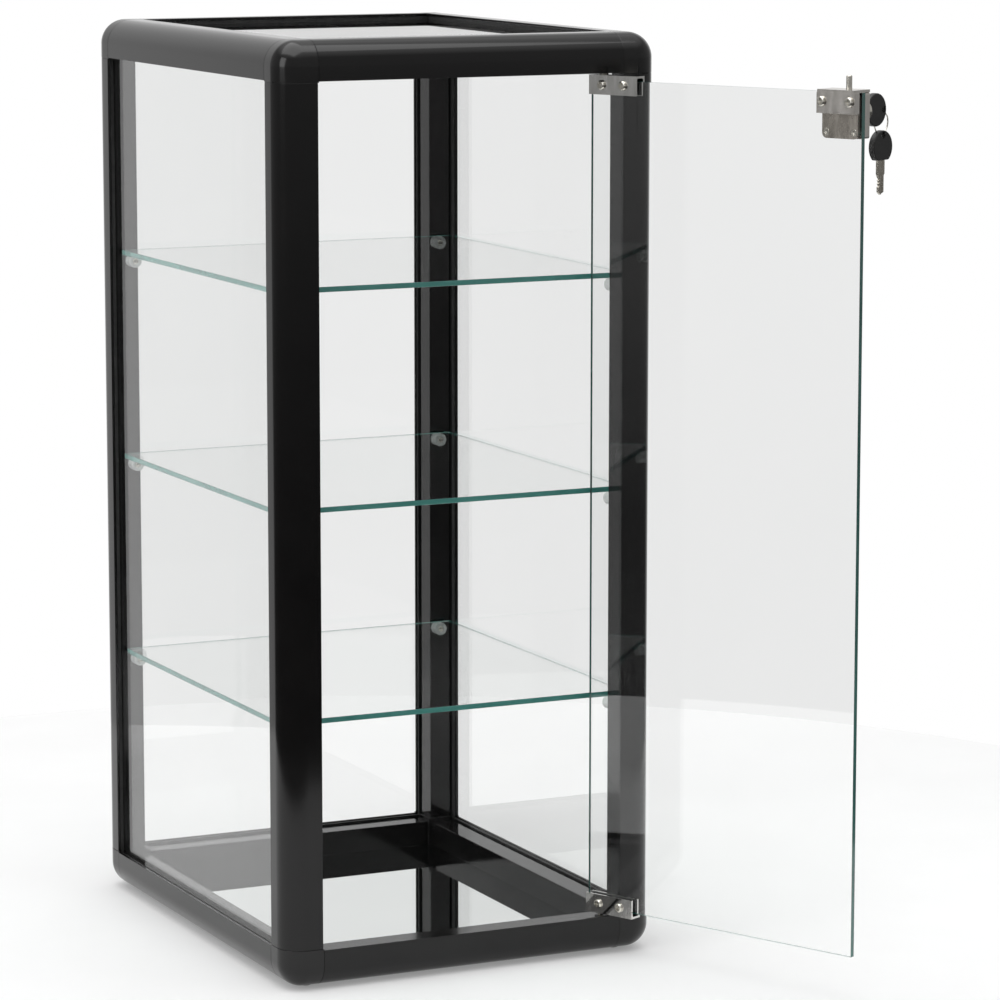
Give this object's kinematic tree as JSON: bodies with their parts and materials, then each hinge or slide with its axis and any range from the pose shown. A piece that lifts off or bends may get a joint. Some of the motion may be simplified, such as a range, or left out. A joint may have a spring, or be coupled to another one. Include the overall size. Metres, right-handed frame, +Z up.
{
  "type": "glass display showcase",
  "caption": "Countertop glass display showcase with a black extruded frame, glass shelves on clear pegs, a mirror base and a pivoted lockable glass door.",
  "frame": {"origin": "middle of the front left pad's underside, on the counter", "axes": "+Z up, +X towards the hinge side, +Y from the door to the back"},
  "size_m": [0.4099, 0.5871, 0.7015],
  "materials": {
    "frame_black": "gloss black coated aluminium extrusion",
    "corner_black": "gloss black moulded connector",
    "panel_glass": "clear float glass with pale green edges",
    "shelf_glass": "clear float glass with green polished edges",
    "mirror": "silvered base mirror",
    "clear_plastic": "clear moulded peg",
    "gasket_rubber": "soft black seal",
    "foot_rubber": "thin black anti-slip pad",
    "chrome": "bright plated, lightly worn",
    "nickel": "satin nickel plated",
    "screw_steel": "plated screw steel",
    "nylon": "black nylon bush",
    "brass": "machined brass",
    "key_plastic": "black moulded key grip",
    "key_steel": "nickel plated key steel"
  },
  "bodies": {
    "case": {"base_mirror": "mirror", "beam_bottom_back": "frame_black", "beam_bottom_front": "frame_black", "beam_bottom_left": "frame_black", "beam_bottom_right": "frame_black", "beam_top_back": "frame_black", "beam_top_front": "frame_black", "beam_top_left": "frame_black", "beam_top_right": "frame_black", "corner_bottom_back_left": "corner_black", "corner_bottom_back_right": "corner_black", "corner_bottom_front_left": "corner_black", "corner_bottom_front_right": "corner_black", "corner_top_back_left": "corner_black", "corner_top_back_right": "corner_black", "corner_top_front_left": "corner_black", "corner_top_front_right": "corner_black", "counter_pads": "foot_rubber", "gasket_back": "gasket_rubber", "gasket_left": "gasket_rubber", "gasket_right": "gasket_rubber", "gasket_top": "gasket_rubber", "glass_back": "panel_glass", "glass_left": "panel_glass", "glass_right": "panel_glass", "glass_top": "panel_glass", "pegs_lower": "clear_plastic", "pegs_middle": "clear_plastic", "pegs_upper": "clear_plastic", "pivot_bushes": "nylon", "post_back_left": "frame_black", "post_back_right": "frame_black", "post_front_left": "frame_black", "post_front_right": "frame_black", "shelf_lower": "shelf_glass", "shelf_middle": "shelf_glass", "shelf_upper": "shelf_glass"},
    "door": {"door_glass": "panel_glass", "hinge_bracket_top": "chrome", "hinge_bracket_bottom": "chrome", "hinge_pads": "gasket_rubber", "hinge_pins": "chrome", "hinge_screws": "screw_steel", "lock_body": "nickel", "lock_back_plate": "nickel", "lock_clamp": "nickel", "lock_clamp_screws": "screw_steel", "lock_plate_screws": "screw_steel", "lock_cylinder": "chrome"},
    "lock_plug": {"lock_plug": "brass", "lock_cam": "brass", "key_bow": "key_plastic", "key_blade": "key_steel"},
    "bolt": {"lock_bolt": "chrome"},
    "key_ring": {"key_ring": "key_steel"},
    "spare_key": {"spare_key_bow": "key_plastic", "spare_key_blade": "key_steel"}
  },
  "joints": [
    {"name": "door_swing", "type": "hinge", "parent": "case", "child": "door", "pos_m": [0.23975, -0.01375, 0], "axis": [0, 0, 1], "range_deg": [-115, 2]},
    {"name": "lock_turn", "type": "hinge", "parent": "door", "child": "lock_plug", "pos_m": [0.33146, -0.21042, 0.6518], "axis": [0.9063, 0.4226, 0], "range_deg": [0, 90]},
    {"name": "bolt_slide", "type": "slide", "parent": "door", "child": "bolt", "axis": [0, 0, 1], "range_m": [-0.008, 0]},
    {"name": "ring_swing", "type": "hinge", "parent": "lock_plug", "child": "key_ring", "pos_m": [0.3736, -0.19077, 0.651], "axis": [0.4226, -0.9063, 0], "range_deg": [-20, 20]},
    {"name": "spare_key_swing", "type": "hinge", "parent": "key_ring", "child": "spare_key", "pos_m": [0.3736, -0.19077, 0.634], "axis": [0.4226, -0.9063, 0], "range_deg": [-20, 20]}
  ],
  "couplings": [
    {"joint": "bolt_slide", "follows": "lock_turn", "m_per_rad": -0.005093}
  ]
}
